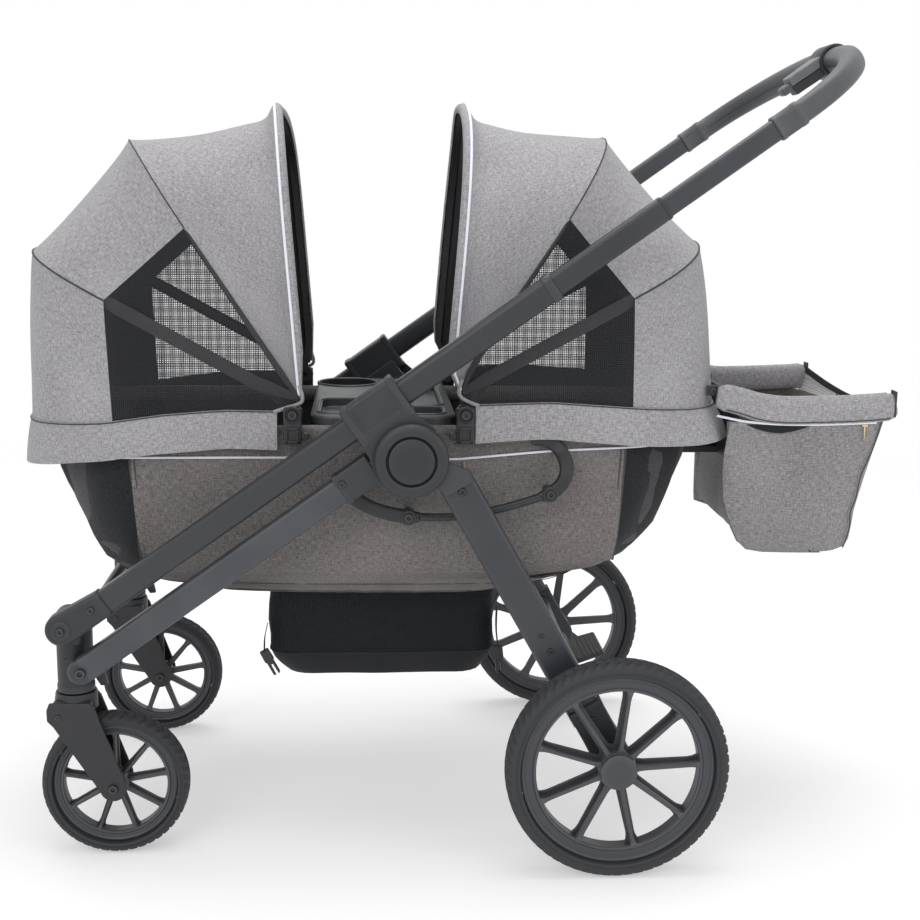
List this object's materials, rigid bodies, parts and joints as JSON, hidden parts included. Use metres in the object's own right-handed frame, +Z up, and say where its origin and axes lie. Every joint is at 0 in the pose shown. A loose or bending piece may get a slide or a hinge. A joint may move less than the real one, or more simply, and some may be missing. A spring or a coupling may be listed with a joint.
{
  "type": "two-passenger tub stroller",
  "caption": "Tub stroller on a folding wheeled frame, with two facing folding canopies, a telescoping U handle, an under basket, a cup tray and a rear bag.",
  "frame": {"origin": "on the ground under the middle of the stroller's box", "axes": "+X towards the person pushing, +Y to that person's right, +Z up"},
  "size_m": [1.1331, 0.6458, 1.042],
  "materials": {
    "frame_paint": "matte charcoal",
    "frame_plastic": "matte charcoal",
    "grip_cover": "soft grey cover",
    "black_plastic": "matte black",
    "grey_plastic": "matte grey",
    "rim_plastic": "matte dark grey",
    "tyre_rubber": "matte",
    "grey_cloth": "heathered weave",
    "dark_cloth": "quilted",
    "mesh_cloth": "open mesh",
    "bright_steel": "bright"
  },
  "bodies": {
    "frame": {"main_tube_left": "frame_paint", "main_tube_right": "frame_paint", "hub_housing_left": "frame_plastic", "hub_housing_right": "frame_plastic", "front_knuckle_left": "frame_plastic", "front_knuckle_right": "frame_plastic", "front_crossbar": "frame_paint", "tub_shell": "grey_cloth", "tub_rim": "black_plastic", "floor_pad": "dark_cloth", "seat_back_front": "dark_cloth", "seat_back_rear": "dark_cloth", "side_guard_left": "frame_plastic", "side_guard_right": "frame_plastic", "canopy_front_rear_panel": "grey_cloth", "canopy_rear_rear_panel": "grey_cloth", "under_basket": "mesh_cloth", "bag_hanger": "black_plastic"},
    "handle": {"handle_tube_left": "frame_paint", "handle_tube_right": "frame_paint", "handle_grip": "grip_cover", "latch_block": "black_plastic"},
    "latch": {"latch_trigger": "grey_plastic"},
    "rear_legs": {"rear_leg_left": "frame_paint", "rear_leg_right": "frame_paint", "rear_crossbar": "frame_paint", "hub_cover_left": "frame_plastic", "hub_cover_right": "frame_plastic", "axle_housing_left": "frame_plastic", "axle_housing_right": "frame_plastic"},
    "brake": {"brake_pedal": "black_plastic"},
    "rear_wheel_left": {"rear_rim_left": "rim_plastic", "rear_tyre_left": "tyre_rubber"},
    "rear_wheel_right": {"rear_rim_right": "rim_plastic", "rear_tyre_right": "tyre_rubber"},
    "stem_left": {"front_stem_left": "frame_plastic"},
    "stem_right": {"front_stem_right": "frame_plastic"},
    "link_left": {"link_bar_left": "frame_paint"},
    "link_right": {"link_bar_right": "frame_paint"},
    "lock_left": {"swivel_lock_left": "bright_steel"},
    "lock_right": {"swivel_lock_right": "bright_steel"},
    "caster_left": {"caster_fork_left": "black_plastic"},
    "caster_right": {"caster_fork_right": "black_plastic"},
    "front_wheel_left": {"front_rim_left": "rim_plastic", "front_tyre_left": "tyre_rubber"},
    "front_wheel_right": {"front_rim_right": "rim_plastic", "front_tyre_right": "tyre_rubber"},
    "front_rear_bow": {"canopy_front_rear_bow": "black_plastic"},
    "front_middle_bow": {"canopy_front_middle_bow": "black_plastic", "canopy_front_middle_panel": "grey_cloth"},
    "front_front_bow": {"canopy_front_front_bow": "black_plastic", "canopy_front_front_panel": "grey_cloth"},
    "rear_rear_bow": {"canopy_rear_rear_bow": "black_plastic"},
    "rear_middle_bow": {"canopy_rear_middle_bow": "black_plastic", "canopy_rear_middle_panel": "grey_cloth"},
    "rear_front_bow": {"canopy_rear_front_bow": "black_plastic", "canopy_rear_front_panel": "grey_cloth"},
    "tray": {"cup_tray": "black_plastic"},
    "bag": {"rear_bag": "grey_cloth"}
  },
  "joints": [
    {"name": "handle_slide", "type": "slide", "parent": "frame", "child": "handle", "axis": [0.8141, 0, 0.5807], "range_m": [-0.1, 0]},
    {"name": "latch_squeeze", "type": "slide", "parent": "handle", "child": "latch", "axis": [0.8141, 0, 0.5807], "range_m": [0, 0.008], "stiffness_N_per_m": 400},
    {"name": "chassis_fold", "type": "hinge", "parent": "frame", "child": "rear_legs", "pos_m": [-0.0675, 0, 0.522], "axis": [0, 1, 0], "range_deg": [0, 55]},
    {"name": "brake_press", "type": "hinge", "parent": "rear_legs", "child": "brake", "pos_m": [0.1615, 0, 0.188], "axis": [0, 1, 0], "range_deg": [0, 20]},
    {"name": "rear_wheel_left_spin", "type": "hinge", "parent": "rear_legs", "child": "rear_wheel_left", "pos_m": [0.1886, -0.3034, 0.14], "axis": [0, 1, 0], "continuous": true},
    {"name": "rear_wheel_right_spin", "type": "hinge", "parent": "rear_legs", "child": "rear_wheel_right", "pos_m": [0.1886, 0.3034, 0.14], "axis": [0, 1, 0], "continuous": true},
    {"name": "front_stem_left_fold", "type": "hinge", "parent": "frame", "child": "stem_left", "pos_m": [-0.494, -0.247, 0.309], "axis": [0, -1, 0], "range_deg": [0, 20]},
    {"name": "front_stem_right_fold", "type": "hinge", "parent": "frame", "child": "stem_right", "pos_m": [-0.494, 0.247, 0.309], "axis": [0, -1, 0], "range_deg": [0, 20]},
    {"name": "link_bar_left_pivot", "type": "hinge", "parent": "stem_left", "child": "link_left", "pos_m": [-0.4725, -0.247, 0.2543], "axis": [0, 1, 0], "range_deg": [0, 20]},
    {"name": "link_bar_right_pivot", "type": "hinge", "parent": "stem_right", "child": "link_right", "pos_m": [-0.4725, 0.247, 0.2543], "axis": [0, 1, 0], "range_deg": [0, 20]},
    {"name": "swivel_lock_left_flip", "type": "hinge", "parent": "stem_left", "child": "lock_left", "pos_m": [-0.4605, -0.2093, 0.248], "axis": [0, -1, 0], "range_deg": [0, 30]},
    {"name": "swivel_lock_right_flip", "type": "hinge", "parent": "stem_right", "child": "lock_right", "pos_m": [-0.4605, 0.2093, 0.248], "axis": [0, -1, 0], "range_deg": [0, 30]},
    {"name": "caster_left_swivel", "type": "hinge", "parent": "stem_left", "child": "caster_left", "pos_m": [-0.4881, -0.2093, 0.2165], "axis": [0, 0, 1], "continuous": true},
    {"name": "caster_right_swivel", "type": "hinge", "parent": "stem_right", "child": "caster_right", "pos_m": [-0.4881, 0.2093, 0.2165], "axis": [0, 0, 1], "continuous": true},
    {"name": "front_wheel_left_spin", "type": "hinge", "parent": "caster_left", "child": "front_wheel_left", "pos_m": [-0.4418, -0.2093, 0.093], "axis": [0, 1, 0], "continuous": true},
    {"name": "front_wheel_right_spin", "type": "hinge", "parent": "caster_right", "child": "front_wheel_right", "pos_m": [-0.4418, 0.2093, 0.093], "axis": [0, 1, 0], "continuous": true},
    {"name": "canopy_front_fold", "type": "hinge", "parent": "frame", "child": "front_rear_bow", "pos_m": [-0.213, 0, 0.568], "axis": [0, -1, 0], "range_deg": [0, 20], "deforming": ["canopy_front_rear_panel"]},
    {"name": "canopy_front_middle_fold", "type": "hinge", "parent": "front_rear_bow", "child": "front_middle_bow", "pos_m": [-0.213, 0, 0.568], "axis": [0, -1, 0], "range_deg": [0, 20], "deforming": ["canopy_front_middle_panel"]},
    {"name": "canopy_front_front_fold", "type": "hinge", "parent": "front_middle_bow", "child": "front_front_bow", "pos_m": [-0.213, 0, 0.568], "axis": [0, -1, 0], "range_deg": [0, 20], "deforming": ["canopy_front_front_panel"]},
    {"name": "canopy_rear_fold", "type": "hinge", "parent": "frame", "child": "rear_rear_bow", "pos_m": [0.002, 0, 0.568], "axis": [0, 1, 0], "range_deg": [0, 20], "deforming": ["canopy_rear_rear_panel"]},
    {"name": "canopy_rear_middle_fold", "type": "hinge", "parent": "rear_rear_bow", "child": "rear_middle_bow", "pos_m": [0.002, 0, 0.568], "axis": [0, 1, 0], "range_deg": [0, 20], "deforming": ["canopy_rear_middle_panel"]},
    {"name": "canopy_rear_front_fold", "type": "hinge", "parent": "rear_middle_bow", "child": "rear_front_bow", "pos_m": [0.002, 0, 0.568], "axis": [0, 1, 0], "range_deg": [0, 20], "deforming": ["canopy_rear_front_panel"]},
    {"name": "tray_lift", "type": "slide", "parent": "frame", "child": "tray", "axis": [0, 0, 1], "range_m": [0, 0.05]},
    {"name": "bag_unhook", "type": "slide", "parent": "frame", "child": "bag", "axis": [1, 0, 0], "range_m": [0, 0.04]}
  ],
  "couplings": [
    {"joint": "front_stem_left_fold", "follows": "chassis_fold", "ratio": 0.36},
    {"joint": "front_stem_right_fold", "follows": "chassis_fold", "ratio": 0.36},
    {"joint": "link_bar_left_pivot", "follows": "chassis_fold", "ratio": 0.34},
    {"joint": "link_bar_right_pivot", "follows": "chassis_fold", "ratio": 0.34},
    {"joint": "canopy_front_middle_fold", "follows": "canopy_front_fold", "ratio": 1},
    {"joint": "canopy_front_front_fold", "follows": "canopy_front_fold", "ratio": 1},
    {"joint": "canopy_rear_middle_fold", "follows": "canopy_rear_fold", "ratio": 1},
    {"joint": "canopy_rear_front_fold", "follows": "canopy_rear_fold", "ratio": 1}
  ]
}
